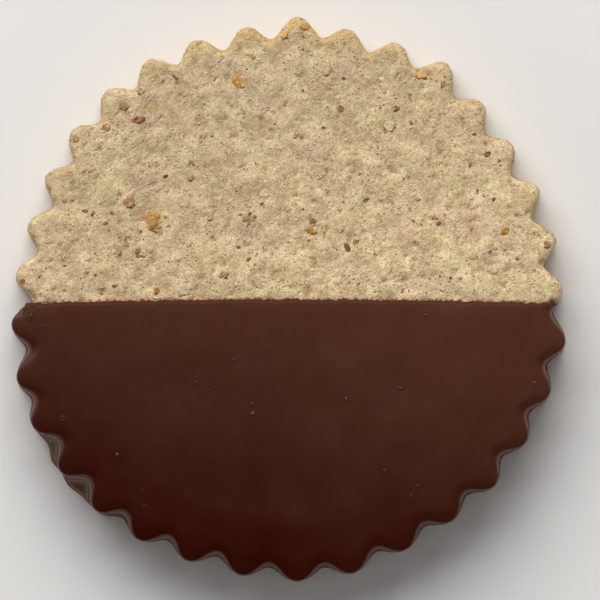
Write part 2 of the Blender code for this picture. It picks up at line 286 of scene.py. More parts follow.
def ragged_line(x):
    """The dip line with the small runs and nicks of the set edge."""
    runs = noise.noise(Vector((x / RUNS_SPAN, 4, 0)))
    nicks = noise.noise(Vector((x / NICKS_SPAN, 8, 0)))
    return dip_line(x) + RUNS * (runs + nicks)


def disc_point(u, v):
    """Angle and share of the radius where a point of the square from -1 to 1 lands on a disc."""
    x = u * math.sqrt(1 - v * v / 2)
    y = v * math.sqrt(1 - u * u / 2)
    return math.atan2(y, x), math.hypot(x, y)


def quarter(steps):
    """Angles of a quarter turn, both ends included."""
    return [math.pi / 2 * i / steps for i in range(steps + 1)]


# ---------------------------------------------------------------- meshes


def grid_box(across, along, rows):
    """A cube from -1 to 1 whose faces are cut into even squares."""
    bm = bmesh.new()
    bmesh.ops.create_cube(bm, size=2)
    for axis, count in ((2, rows), (0, across), (1, along)):
        whole = [e for e in bm.edges if abs(e.verts[0].co[axis] - e.verts[1].co[axis]) > 1.9]
        bmesh.ops.subdivide_edges(bm, edges=whole, cuts=count - 1, use_grid_fill=True)
    return bm


def finish_mesh(bm, name, material):
    """Makes a piece of the part from a bmesh, in the part's frame, and frees the bmesh."""
    mesh = bpy.data.meshes.new(name)
    bm.to_mesh(mesh)
    bm.free()
    mesh.materials.append(material)
    mesh.shade_smooth()
    piece = bpy.data.objects.new(name, mesh)
    bpy.context.scene.collection.objects.link(piece)
    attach(piece, "root")
    return piece


BISCUIT_ACROSS = 214
BISCUIT_ALONG = 150
DIPPED_ALONG = 34  # how many of them lie under the chocolate
DIPPED_END = -0.05  # where those end, with the round from -1 to 1
TOP_ROUND_ROWS = 6
WALL_ROWS = 25
BASE_ROUND_ROWS = 2


def biscuit_profile():
    """(inset, height) down the biscuit's edge, from the flat top to the flat base."""
    found = []
    for angle in quarter(TOP_ROUND_ROWS):
        inset = SIDE_SLOPE + TOP_ROUND * (1 - math.sin(angle))
        found.append((inset, THICKNESS - TOP_ROUND * (1 - math.cos(angle))))
    for i in range(1, WALL_ROWS):
        share = i / WALL_ROWS
        height = (THICKNESS - TOP_ROUND) * (1 - share) + BASE_ROUND * share
        found.append((SIDE_SLOPE * (1 - share), height))
    for angle in quarter(BASE_ROUND_ROWS):
        found.append((BASE_ROUND * (1 - math.cos(angle)), BASE_ROUND * (1 - math.sin(angle))))
    return found


def crumb_relief(spot):
    """How far the crumb stands out of an even face here: soft lumps, grains, pits and cracks."""
    lumps = LUMPS * noise.fractal(spot / LUMPS_SPAN, 0.9, 2.1, 3)
    grains = GRAINS * (GRAIN_REACH - noise.voronoi(spot / GRAINS_SPAN)[0][0])
    pits = -PITS * smooth_step((noise.noise(spot / PITS_SPAN) - 0.42) / 0.16)
    ridge = abs(noise.noise(spot / CRACKS_SPAN + Vector((9, 3, 1))))
    broken = smooth_step(noise.noise(spot / CRACKED_SPAN) * 2)
    cracks = -CRACKS * broken * (1 - smooth_step(ridge / CRACK_WIDTH))
    return MM * (lumps + grains + pits + cracks)


def large_chips():
    """The larger chips, and a search tree that finds the nearest of them."""
    chips = AMBER_CHIPS + GOLDEN_CHIPS + RED_CHIPS + BROWN_CHIPS + PALE_CHIPS
    tree = kdtree.KDTree(len(chips))
    for i, (x, y, _, _, _) in enumerate(chips):
        tree.insert(Vector((x, y, 0)) * MM, i)
    tree.balance()
    return chips, tree


def baked_share(angle, inset, height):
    """How baked the crumb is at a spot: 0 on top, more at the rim and down the side; it also sets
    painted shade there.
    """
    side = 1 - smooth_step((height - THICKNESS + BAKED_SIDE_FROM) / BAKED_SIDE_FADE)
    rim = 1 - smooth_step(inset / BAKED_RIM_REACH)
    far = max(0.0, math.sin(angle)) ** 12
    return max(BAKED_SIDE * side, (BAKED_RIM + BAKED_FAR_RIM * far) * rim)


def moat_depth(spot, chips, tree):
    """How far the crumb has sunk here, in a ring round the nearest large chip."""
    _, number, _ = tree.find((spot.x, spot.y, 0))
    x, y, length, breadth, _ = chips[number]
    away = math.hypot(spot.x / MM - x, spot.y / MM - y) / ((length + breadth) / 4)
    return CHIP_MOAT * math.exp(-(((away - 1.1) / 0.3) ** 2))


def biscuit_mesh():
    """The biscuit with its crumb in relief where it is bare.

    "bake_and_rim_shade" keeps how baked it is, which also darkens the rim as painted shade,
    "painted_pit_shade" how deep a spot lies in a pit or crack, for painted shade there, and
    "stain" how near it is to the chocolate.
    """
    profile = biscuit_profile()
    rows = len(profile) - 1
    bm = grid_box(BISCUIT_ACROSS, BISCUIT_ALONG, rows)
    bake_and_rim_shade = bm.verts.layers.float.new("bake_and_rim_shade")
    painted_pit_shade = bm.verts.layers.float.new("painted_pit_shade")
    stain = bm.verts.layers.float.new("stain")
    dipped = DIPPED_ALONG / BISCUIT_ALONG
    for vertex in bm.verts:
        u, v, w = vertex.co
        share = (v + 1) / 2
        if share < dipped:
            v = -1 + share / dipped * (DIPPED_END + 1)
        else:
            v = DIPPED_END + (share - dipped) / (1 - dipped) * (1 - DIPPED_END)
        angle, reach = disc_point(u, v)
        row = round((1 - w) / 2 * rows)
        edge, height = profile[row]
        inset = edge + (1 - reach) * (MEAN_RADIUS - edge)
        spot = fluted(angle, inset)
        spot.z = biscuit_height(spot, inset, height)
        vertex.co = spot + CENTRE
        vertex[bake_and_rim_shade] = baked_share(angle, inset, height)
    bm.normal_update()
    chips, tree = large_chips()
    moves = []
    for vertex in bm.verts:
        spot = vertex.co
        bare = smooth_step((spot.y - CENTRE.y - dip_line(spot.x) + BARE_FADE) / BARE_FADE)
        if bare == 0:
            moves.append(0)
            continue
        move = crumb_relief(spot)
        if spot.z > THICKNESS * 0.8:
            move -= moat_depth(spot, chips, tree)
        moves.append(bare * move)
        # How deep a spot lies in a pit or crack, which the colour darkens as painted shade.
        vertex[painted_pit_shade] = smooth_step((-0.03 - move / MM) / 0.16)
        vertex[stain] = 1 - smooth_step((spot.y - CENTRE.y - ragged_line(spot.x)) / STAIN_REACH)
    for vertex, move in zip(bm.verts, moves):
        vertex.co += vertex.normal * move
        vertex.co.z = max(0.0, vertex.co.z)
    return bm


CHIP_TOP = 0.4  # where a chip's flat top lies, as a share of half its thickness
CHIP_BENDS = 0.42  # how far a chip swells and thins, as a share of its size
CHIP_KNOBS = 0.3  # the same for its knobs
DOWN = Vector((0, 0, -1))
ABOVE_ALL = 30  # a height over the whole biscuit, in mm


def new_chips():
    """An empty bmesh with the layers that chips keep."""
    bm = bmesh.new()
    for layer in ("tint", "rim"):
        bm.verts.layers.float.new(layer)
    return bm


def chip_mesh(bm, place, half_sizes, detail, draw, top=CHIP_TOP):
    """Adds one chip of broken nut: a ball cut back by flat breaks, then set in its place.

    The last break is the chip's top, which lies nearly flat with the crumb. "tint" keeps a shade
    of its own, and "rim" how near a spot is to its outline.
    """
    tint = bm.verts.layers.float["tint"]
    rim = bm.verts.layers.float["rim"]
    made = bmesh.ops.create_icosphere(bm, subdivisions=detail, radius=1)["verts"]
    breaks = []
    for _ in range(2 + 2 * detail):
        way = Vector((draw.gauss(0, 1), draw.gauss(0, 1), draw.gauss(0, 0.5))).normalized()
        breaks.append((way, draw.uniform(0.8, 1.05)))
    tip = Vector((draw.uniform(-0.14, 0.14), draw.uniform(-0.14, 0.14), 1)).normalized()
    breaks.append((tip, top))
    shade = draw.random()
    apart = Vector((draw.uniform(0, 99), draw.uniform(0, 99), 0))
    form = place @ Matrix.Diagonal((*half_sizes, 1))
    for vertex in made:
        vertex[tint] = shade
        vertex[rim] = smooth_step((0.75 - vertex.co.z) / 0.5)
        bends = CHIP_BENDS * noise.noise(vertex.co * 1.6 + apart)
        vertex.co *= 1 + bends + CHIP_KNOBS * noise.noise(vertex.co * 4 + apart)
        for way, depth in breaks:
            vertex.co -= way * max(0.0, vertex.co.dot(way) - depth)
        vertex.co = form @ vertex.co
        vertex.co.z = max(0.0, vertex.co.z)


def surface_place(tree, start, way, degrees, sink):
    """Where a chip lies on a face: the matrix that turns it flat to the face and sinks it in.

    degrees turns the chip's length away from +X, or from +Y on a face that looks along X.
    """
    spot, normal, _, _ = tree.ray_cast(start, way)
    if spot is None:
        return None
    along = Vector((1, 0, 0)) if abs(normal.x) < 0.8 else Vector((0, 1, 0))
    along = (along - normal * along.dot(normal)).normalized()
    turn = Matrix((along, normal.cross(along), normal)).transposed().to_4x4()
    spin = Matrix.Rotation(math.radians(degrees), 4, "Z")
    return Matrix.Translation(spot - normal * sink) @ turn @ spin


def bare_start(draw, where):
    """A start and a way to look from for a random place on the bare top, side or underside."""
    if where == "side":
        angle = math.radians(draw.uniform(1, 179))
        out = Vector((math.cos(angle), math.sin(angle), 0))
        height = lift(out.y * MEAN_RADIUS) + THICKNESS * draw.uniform(0.06, 0.93)
        return out * 60 * MM + Vector((0, 0, height)) + CENTRE, -out
    while True:
        x = draw.uniform(-1, 1) * MEAN_RADIUS * 1.03
        y = draw.uniform(0, 1) * MEAN_RADIUS * 1.06
        if math.hypot(x, y) < MEAN_RADIUS * 1.05:
            break
    y += 0.4 * MM * (y < 0.4 * MM)
    way = DOWN if where == "top" else -DOWN
    return Vector((x, y, 0)) - way * ABOVE_ALL * MM + CENTRE, way


def shadow_slivers_below():
    """Dark slivers at the lower edges of the brown, red and amber chips: painted shadow, made as
    dark skin.
    """
    found = []
    for i, (x, y, length, breadth, _) in enumerate(BROWN_CHIPS + RED_CHIPS + AMBER_CHIPS):
        side = -0.25 if i % 3 else 0.2
        found.append((x + side * length, y - 0.46 * breadth, 0.55 * length, 0.26, 14 - 9 * (i % 4)))
    return tuple(found)


def chips_piece(name, tree, material, listed, scattered, flatness, rise, seed):
    """All the chips of one kind: those listed, and (where, count, least, most) scattered ones.

    flatness is a chip's thickness as a share of its breadth, and rise how far its top stands
    out of the crumb, in mm.
    """
    bm = new_chips()
    draw = random.Random(seed)
    for x, y, length, breadth, degrees in listed:
        thick = flatness * breadth * MM / 2
        start = Vector((x, y, ABOVE_ALL)) * MM
        sink = CHIP_TOP * thick - rise * MM
        place = surface_place(tree, start, DOWN, degrees, sink)
        if place:
            chip_mesh(bm, place, (length * MM / 2, breadth * MM / 2, thick), 3, draw)
    for where, count, least, most in scattered:
        for _ in range(count):
            size = MM * (least + (most - least) * draw.random() ** 2) / 2
            start, way = bare_start(draw, where)
            degrees = draw.uniform(0, 360)
            thick = flatness * size
            sink = CHIP_TOP * thick - min(rise * MM, 0.5 * size)
            place = surface_place(tree, start, way, degrees, sink)
            if place:
                halves = (size, size * draw.uniform(0.55, 1), thick)
                detail = 2 if size > 0.35 * MM else 1
                chip_mesh(bm, place, halves, detail, draw)
    bmesh.ops.recalc_face_normals(bm, faces=bm.faces[:])
    finish_mesh(bm, name, material)


def beads_piece(tree, material, draw):
    """The beads and hair scratches on the chocolate."""
    bm = new_chips()
    for x, y, length, breadth, degrees in BEADS + SCRATCHES:
        thick = MM * min(0.2, 0.5 * breadth)
        start = Vector((x, y, ABOVE_ALL)) * MM
        place = surface_place(tree, start, DOWN, degrees, 0.2 * thick)
        chip_mesh(bm, place, (length * MM / 2, breadth * MM / 2, thick), 3, draw, top=1.2)
    finish_mesh(bm, "chocolate_beads", material)


def corner_piece(tree, material, draw):
    """The lumps of crumb that show through the chocolate at the left end of the dip line."""
    bm = new_chips()
    for _ in range(CORNER_LUMPS):
        x = CORNER[0] + draw.gauss(0, CORNER_SPREAD[0])
        y = CORNER[1] + draw.gauss(0, CORNER_SPREAD[1])
        start = Vector((x, y, ABOVE_ALL)) * MM
        place = surface_place(tree, start, DOWN, draw.uniform(0, 360), 0.0)
        if place:
            size = MM * draw.uniform(0.12, 0.34)
            halves = (size, size * draw.uniform(0.6, 1), 0.5 * size)
            chip_mesh(bm, place, halves, 2, draw, top=0.8)
    finish_mesh(bm, "corner_crumbs", material)


# ---------------------------------------------------------------- the chocolate coat

COAT_ACROSS = 330
COAT_ALONG = 92
COAT_ROUND_ROWS = 7
COAT_WALL_ROWS = 13
FOOT_ROWS = 9
FOOT_ROUND_ROWS = 3
LIP_ROWS = 5
CLOSE_ROWS = 0.03  # over what share of the coat's length the rows lie closer behind the lip
COAT_FULL = THICKNESS + COAT_ABOVE + lift(-MEAN_RADIUS / 2)  # its height half way along it


def coat_profile():
    """(share of the round's size, in and down; height of the wall; foot's spread) down the coat.

    The wall's height is a share from 1, under the round, to 0 at the foot's top and -1 on the table.
    """
    found = []
    for angle in quarter(COAT_ROUND_ROWS):
        found.append((1 - math.sin(angle), 1 - math.cos(angle), 1.0, 0.0))
    for i in range(1, COAT_WALL_ROWS):
        found.append((0.0, 1.0, 1 - i / COAT_WALL_ROWS, 0.0))
    for i in range(FOOT_ROWS):
        share = i / FOOT_ROWS
        found.append((0.0, 1.0, -share * (1 - FOOT_ROUND / FOOT_HEIGHT), share ** 2.2))
    for angle in quarter(FOOT_ROUND_ROWS):
        height = FOOT_ROUND / FOOT_HEIGHT * (1 - math.sin(angle))
        found.append((0.0, 1.0, height - 1, 1.0))
    return found


def coat_edge(angle, row):
    """(inset, share of the full height) of a row of the coat's profile at an angle."""
    inward, down, wall, _ = row
    _, wave = lobe_wave(angle)
    valleys = ROUND_IN_VALLEYS + ROUND_AT_PUDDLE * bell(angle, PUDDLE_AT, 3 * PUDDLE_REACH)
    size = valleys + (ROUND_AT_TIPS - valleys) * smooth_step((1 + wave) / 2)
    if wall > 0:
        height = FOOT_HEIGHT + (COAT_FULL - size - FOOT_HEIGHT) * wall + size * (1 - down)
    else:
        height = FOOT_HEIGHT * (1 + wall)
    under = max(0.0, FOOT_ROUND - height)
    inset = inward * size + FOOT_ROUND - math.sqrt(FOOT_ROUND ** 2 - under ** 2)
    return inset, height / COAT_FULL


def coat_point(angle, inset, share, spread):
    """A point on the coat's outside."""
    pool = PUDDLE * bell(angle, PUDDLE_AT, PUDDLE_REACH)
    flow = swell(angle, THICK_PLACES)
    from_line = dip_line(math.cos(angle) * MEAN_RADIUS) - math.sin(angle) * MEAN_RADIUS
    left = THIN_END + (1 - THIN_END) * smooth_step(from_line / THIN_END_REACH)
    tips = left * (COAT_AT_TIPS + flow + spread * FOOT_AT_TIPS)
    valleys = left * (COAT_IN_VALLEYS + flow + spread * (FOOT_IN_VALLEYS + pool))
    spot = fluted(angle, inset, tips, valleys)
    back = smooth_step((dip_line(spot.x) - spot.y) / EDGE_REACH)
    above = COAT_AT_EDGE + (COAT_ABOVE - COAT_AT_EDGE) * back
    above += WAVES * noise.noise(Vector((spot.x, spot.y, THICKNESS)) / WAVES_SPAN)
    above -= SHOULDER * (1 - smooth_step(inset / SHOULDER_REACH))
    spot.z = share * (biscuit_height(spot, inset, THICKNESS) + above)
    return spot


def pocket_point(u, w, y):
    """A point on the coat's inner wall, in the crumb, on the section at this y."""
    width = math.sqrt(max(0.0, (MEAN_RADIUS - FLUTE_DEPTH / 2 - SUNK) ** 2 - y * y))
    spot = Vector((u * width, y, 0))
    low = lift(y) + SUNK
    high = biscuit_height(spot, MEAN_RADIUS - spot.length, THICKNESS) - SUNK
    spot.z = low + (high - low) * (w + 1) / 2
    return spot


def coat_mesh():
    """The chocolate as one closed shell: outside, rounded lip along the dip line, and inner wall.

    "thin" keeps how near a spot is to that lip, where the chocolate has run out thin,
    "painted_shoulder_shade" how far it slopes down to the rim away from the bare half, for painted
    shade, and "foot" how low it lies on the foot, for a painted reflection.
    """
    profile = coat_profile()
    rows = len(profile) - 1
    bm = grid_box(COAT_ACROSS, COAT_ALONG, rows)
    thin = bm.verts.layers.float.new("thin")
    painted_shoulder_shade = bm.verts.layers.float.new("painted_shoulder_shade")
    foot = bm.verts.layers.float.new("foot")
    front = [f for f in bm.faces if all(v.co.y > 0.999 for v in f.verts)]
    bmesh.ops.delete(bm, geom=front, context="FACES")
    for level in range(1, LIP_ROWS + len(POCKET_ROWS) + 1):
        rim = [e for e in bm.edges if e.is_boundary]
        grown = bmesh.ops.extrude_edge_only(bm, edges=rim)["geom"]
        for vertex in grown:
            if isinstance(vertex, bmesh.types.BMVert):
                vertex.co.y = 1 + level
    for vertex in bm.verts:
        u, v, w = vertex.co
        level = max(0, round(v - 1))
        v = min(v, 1.0)
        if level > LIP_ROWS:
            vertex.co = pocket_point(u, w, MM * POCKET_ROWS[level - LIP_ROWS - 1]) + CENTRE
            continue
        front_y = ragged_line(u * MEAN_RADIUS) - LIP
        line = front_y / MEAN_RADIUS / math.sqrt(1 - u * u / 2)
        back = (1 - v) / 2
        back -= CLOSE_ROWS * (1 - math.exp(-back / CLOSE_ROWS)) * (1 - back)
        v = line - back * (line + 1)
        angle, reach = disc_point(u, v)
        row = round((1 - w) / 2 * rows)
        edge, share = coat_edge(angle, profile[row])
        inset = edge + (1 - reach) * (MEAN_RADIUS - edge)
        spot = coat_point(angle, inset, share, profile[row][3])
        vertex[thin] = 1 - smooth_step((front_y - spot.y) / THIN_REACH) if level == 0 else 1.0
        vertex[foot] = 1 - smooth_step((spot.z - FOOT_SHEEN_FROM) / FOOT_SHEEN_FADE)
        if level > 0:
            turn = math.pi / 2 * level / LIP_ROWS
            inner = fluted(angle, inset + SUNK)
            low = lift(spot.y) + SUNK
            high = biscuit_height(inner, inset, THICKNESS) - SUNK
            inner.z = min(high, max(low, spot.z))
            spot = spot.lerp(inner, 1 - math.cos(turn))
            spot.y += LIP * math.sin(turn)
        vertex.co = spot + CENTRE
    rim = [e for e in bm.edges if e.is_boundary]
    end = bmesh.ops.edgeloop_fill(bm, edges=rim)["faces"]
    bmesh.ops.triangulate(bm, faces=end)
    bmesh.ops.recalc_face_normals(bm, faces=bm.faces[:])
    bm.normal_update()
    for vertex in bm.verts:
        facing = vertex.normal
        slope = math.hypot(facing.x, facing.y)
        # Painted shade: most where the coat leans away from the bare half.
        if vertex[thin] < 0.5:
            vertex[painted_shoulder_shade] = smooth_step((0.15 * slope - facing.y) / 0.17)
        # The painted reflection on the foot stays off the underside.
        vertex[foot] *= smooth_step((facing.z + 0.6) / 0.4)
    return bm


# ---------------------------------------------------------------- materials


def paint(red, green, blue):
    """A colour given as 0 to 255 on a screen, as the shaders read it."""
    levels = [channel / 255 for channel in (red, green, blue)]
    return (*[c / 12.92 if c < 0.04045 else ((c + 0.055) / 1.055) ** 2.4 for c in levels], 1.0)


def feed(tree, node, inputs):
    """Sets or links a node's inputs, given by name or number."""
    for name, value in inputs.items():
        if isinstance(value, bpy.types.NodeSocket):
            tree.links.new(value, node.inputs[name])
        else:
            node.inputs[name].default_value = value


def add_node(tree, kind, inputs=(), **settings):
    """A shader node with its settings and inputs."""
    made = tree.nodes.new("ShaderNode" + kind)
    for name, value in settings.items():
        setattr(made, name, value)
    feed(tree, made, dict(inputs))
    return made


def blend(tree, share, first, second, how="MIX"):
    """The colour between two, at a share."""
    made = add_node(tree, "Mix", {0: share, 6: first, 7: second}, data_type="RGBA", blend_type=how)
    return made.outputs[2]


def reckon(tree, how, first, second):
    """What an operation makes of two numbers."""
    return add_node(tree, "Math", {0: first, 1: second}, operation=how).outputs[0]


def times(tree, first, second):
    """Two numbers multiplied."""
    return reckon(tree, "MULTIPLY", first, second)


def plus(tree, first, second):
    """Two numbers added."""
    return reckon(tree, "ADD", first, second)


def attribute(tree, name):
    """What a mesh keeps at its vertices under this name."""
    return add_node(tree, "Attribute", attribute_name=name).outputs["Fac"]


def measured_along(tree, spot, way):
    """How far along a way a spot lies."""
    made = add_node(tree, "VectorMath", {0: spot, 1: way}, operation="DOT_PRODUCT")
    return made.outputs["Value"]


def shaded(tree, colour, shade):
    """The colour made lighter or darker by a number."""
    grey = add_node(tree, "CombineColor", {0: shade, 1: shade, 2: shade}).outputs[0]
    return blend(tree, 1.0, colour, grey, "MULTIPLY")


def rescale(tree, value, low, high, to_low=0.0, to_high=1.0):
    """The value with low to high stretched softly over to_low to to_high."""
    given = {0: value, 1: low, 2: high, 3: to_low, 4: to_high}
    return add_node(tree, "MapRange", given, interpolation_type="SMOOTHSTEP").outputs[0]


def new_group(name, inputs, outputs):
    """A node group with named inputs and outputs: (tree, its inputs, its output node)."""
    tree = bpy.data.node_groups.new(name, "ShaderNodeTree")
    for label, kind, start in inputs:
        socket = tree.interface.new_socket(label, in_out="INPUT", socket_type="NodeSocket" + kind)
        if start is not None:
            socket.default_value = start
    for label, kind in outputs:
        tree.interface.new_socket(label, in_out="OUTPUT", socket_type="NodeSocket" + kind)
    return tree, tree.nodes.new("NodeGroupInput").outputs, tree.nodes.new("NodeGroupOutput").inputs


def sandy_grain_group():
    """Fine sugary grain: its height, and how light each grain is."""
    tree, given, made = new_group(
        "sandy_grain",
        (("Vector", "Vector", None), ("Scale", "Float", 2000.0)),
        (("Height", "Float"), ("Shade", "Float")),
    )
    cells = add_node(tree, "TexVoronoi", {"Vector": given[0], "Scale": given[1]})
    fine = add_node(tree, "TexNoise", {"Vector": given[0], "Scale": given[1], "Detail": 3.0})
    tone = add_node(tree, "SeparateColor", {0: cells.outputs["Color"]})
    dome = reckon(tree, "SUBTRACT", 0.8, cells.outputs["Distance"])
    height = plus(tree, times(tree, dome, 0.6), fine.outputs[0])
    tree.links.new(height, made["Height"])
    own = times(tree, tone.outputs[0], 0.35)
    shade = plus(tree, own, times(tree, fine.outputs[0], 0.9))
    tree.links.new(shade, made["Shade"])
    return tree


def mottling_group():
    """Soft clouds from 0 to 1."""
    tree, given, made = new_group(
        "mottling",
        (("Vector", "Vector", None), ("Scale", "Float", 300.0), ("Spread", "Float", 0.2)),
        (("Clouds", "Float"),),
    )
    read = {"Vector": given[0], "Scale": given[1], "Detail": 3.0, "Roughness": 0.55}
    cloud = add_node(tree, "TexNoise", read)
    low = reckon(tree, "SUBTRACT", 0.5, given[2])
    high = plus(tree, 0.5, given[2])
    tree.links.new(rescale(tree, cloud.outputs[0], low, high), made["Clouds"])
    return tree


def specks_group():
    """Small round specks: 1 in a speck, 0 outside, on a share of the cells."""
    tree, given, made = new_group(
        "specks",
        (
            ("Vector", "Vector", None),
            ("Scale", "Float", 800.0),
            ("Size", "Float", 0.15),
            ("Share", "Float", 0.4),
        ),
        (("Speck", "Float"),),
    )
    bent = add_node(tree, "TexNoise", {"Vector": given[0], "Scale": 2600.0, "Detail": 2.0})
    cells = add_node(tree, "TexVoronoi", {"Vector": given[0], "Scale": given[1]})
    tone = add_node(tree, "SeparateColor", {0: cells.outputs["Color"]})
    chosen = reckon(tree, "LESS_THAN", tone.outputs[0], given[3])
    size = times(tree, given[2], times(tree, bent.outputs[0], 2.0))
    core = times(tree, size, 0.6)
    inside = rescale(tree, cells.outputs["Distance"], core, size, 1.0, 0.0)
    tree.links.new(times(tree, inside, chosen), made["Speck"])
    return tree


SANDY_GRAIN = sandy_grain_group()
MOTTLING = mottling_group()
SPECKS = specks_group()


def new_material(name):
    """A material: (itself, its node tree, its shader, the piece's own coordinates)."""
    made = bpy.data.materials.new(name)
    made.use_nodes = True
    tree = made.node_tree
    spot = add_node(tree, "TexCoord").outputs["Object"]
    return made, tree, tree.nodes["Principled BSDF"], spot


def use_group(tree, group, inputs):
    """Places a node group with its own values: its outputs."""
    made = tree.nodes.new("ShaderNodeGroup")
    made.node_tree = group
    feed(tree, made, inputs)
    return made.outputs


def add_bump(tree, shader, height, distance):
    """Roughens a finish by a height, whose full step is this distance."""
    bump = add_node(tree, "Bump", {"Height": height, "Distance": distance, "Strength": 1.0})
    tree.links.new(bump.outputs[0], shader.inputs["Normal"])


OILY = 0.5  # specular levels of bare nut and of dry crumb
DRY = 0.2


def crumb_material():
    """Pale baked shortbread: sandy, softly mottled, golden where it is more baked, with painted
    light and shade.
    """
    made, tree, shader, spot = new_material("baked_shortbread")
    grain = use_group(tree, SANDY_GRAIN, {"Vector": spot, "Scale": 5200.0})
    coarse = use_group(tree, SANDY_GRAIN, {"Vector": spot, "Scale": 2300.0})
    warm = use_group(tree, MOTTLING, {"Vector": spot, "Scale": 240.0, "Spread": 0.2})
    fine = use_group(tree, MOTTLING, {"Vector": spot, "Scale": 1100.0, "Spread": 0.3})
    specks = use_group(tree, SPECKS, {"Vector": spot, "Scale": 1300.0, "Size": 0.2, "Share": 0.35})
    bake_and_rim_shade = attribute(tree, "bake_and_rim_shade")
    painted_pit_shade = attribute(tree, "painted_pit_shade")
    patches = use_group(tree, MOTTLING, {"Vector": spot, "Scale": 480.0, "Spread": 0.2})
    stain = attribute(tree, "stain")
    colour = blend(tree, warm[0], paint(218, 198, 151), paint(218, 189, 156))
    colour = blend(tree, times(tree, patches[0], 0.9), colour, paint(176, 152, 113))
    colour = blend(tree, times(tree, fine[0], 0.6), colour, paint(200, 176, 140))
    golden = blend(tree, fine[0], paint(200, 166, 104), paint(186, 148, 88))
    spread = times(tree, bake_and_rim_shade, rescale(tree, warm[0], 0.0, 1.0, 0.8, 1.1))
    colour = blend(tree, spread, colour, golden)
    shade = rescale(tree, grain["Shade"], 0.35, 0.9, 0.75, 1.19)
    shade = times(tree, shade, rescale(tree, coarse["Shade"], 0.35, 0.9, 0.9, 1.09))
    # Painted light: the crumb is lighter towards the dip line and the right.
    along = measured_along(tree, spot, (0.3, -1.0, 0.0))
    painted_light = rescale(tree, along, -0.03, 0.004, 0.95, 1.17)
    shade = times(tree, shade, painted_light)
    # Painted shade: darker at the rim and down the side.
    shade = times(tree, shade, rescale(tree, bake_and_rim_shade, 0.0, 0.12, 1.0, 0.93))
    shade = times(tree, shade, rescale(tree, stain, 0.0, 0.7, 1.0, 0.92))
    colour = shaded(tree, colour, shade)
    # Painted shade in the pits and cracks.
    colour = blend(tree, times(tree, painted_pit_shade, 0.55), colour, paint(150, 120, 86))
    colour = blend(tree, times(tree, specks[0], 0.6), colour, paint(118, 84, 58))
    ragged = use_group(tree, MOTTLING, {"Vector": spot, "Scale": 2400.0, "Spread": 0.2})
    close = rescale(tree, stain, 0.65, 1.0, 0.0, 0.8)
    smear = plus(tree, times(tree, ragged[0], 0.6), close)
    colour = blend(tree, rescale(tree, smear, 0.75, 1.25, 0.0, 0.8), colour, paint(112, 58, 36))
    tree.links.new(colour, shader.inputs["Base Color"])
    shader.inputs["Roughness"].default_value = 0.9
    shader.inputs["Specular IOR Level"].default_value = DRY
    height = plus(tree, grain["Height"], coarse["Height"])
    add_bump(tree, shader, height, 0.05 * MM)
    return made


def nut_material(name, first, second, roughness, dusted):
    """Broken hazelnut between two colours by the chip's own tint, darker at its rim.

    dusted is the largest share of it that crumb hides.
    """
    made, tree, shader, spot = new_material(name)
    tint = attribute(tree, "tint")
    grain = use_group(tree, SANDY_GRAIN, {"Vector": spot, "Scale": 3200.0})
    clouds = use_group(tree, MOTTLING, {"Vector": spot, "Scale": 1300.0, "Spread": 0.2})
    rim = attribute(tree, "rim")
    dust = use_group(tree, MOTTLING, {"Vector": spot, "Scale": 2500.0, "Spread": 0.12})
    share = times(tree, plus(tree, tint, clouds[0]), 0.5)
    colour = blend(tree, share, paint(*first), paint(*second))
    darker = blend(tree, 1.0, colour, (0.62, 0.55, 0.5, 1.0), "MULTIPLY")
    colour = blend(tree, times(tree, rim, 0.4), colour, darker)
    hidden = times(tree, dust[0], rescale(tree, tint, 0.0, 1.0, 0.3 * dusted, dusted))
    hidden = times(tree, hidden, rescale(tree, rim, 0.0, 1.0, 0.8, 1.3))
    colour = blend(tree, hidden, colour, paint(200, 177, 140))
    shade = rescale(tree, grain["Shade"], 0.35, 0.85, 0.82, 1.12)
    tree.links.new(shaded(tree, colour, shade), shader.inputs["Base Color"])
    shader.inputs["Roughness"].default_value = roughness
    shader.inputs["Specular IOR Level"].default_value = OILY if roughness < 0.5 else DRY
    add_bump(tree, shader, grain["Height"], 0.04 * MM)
    return made


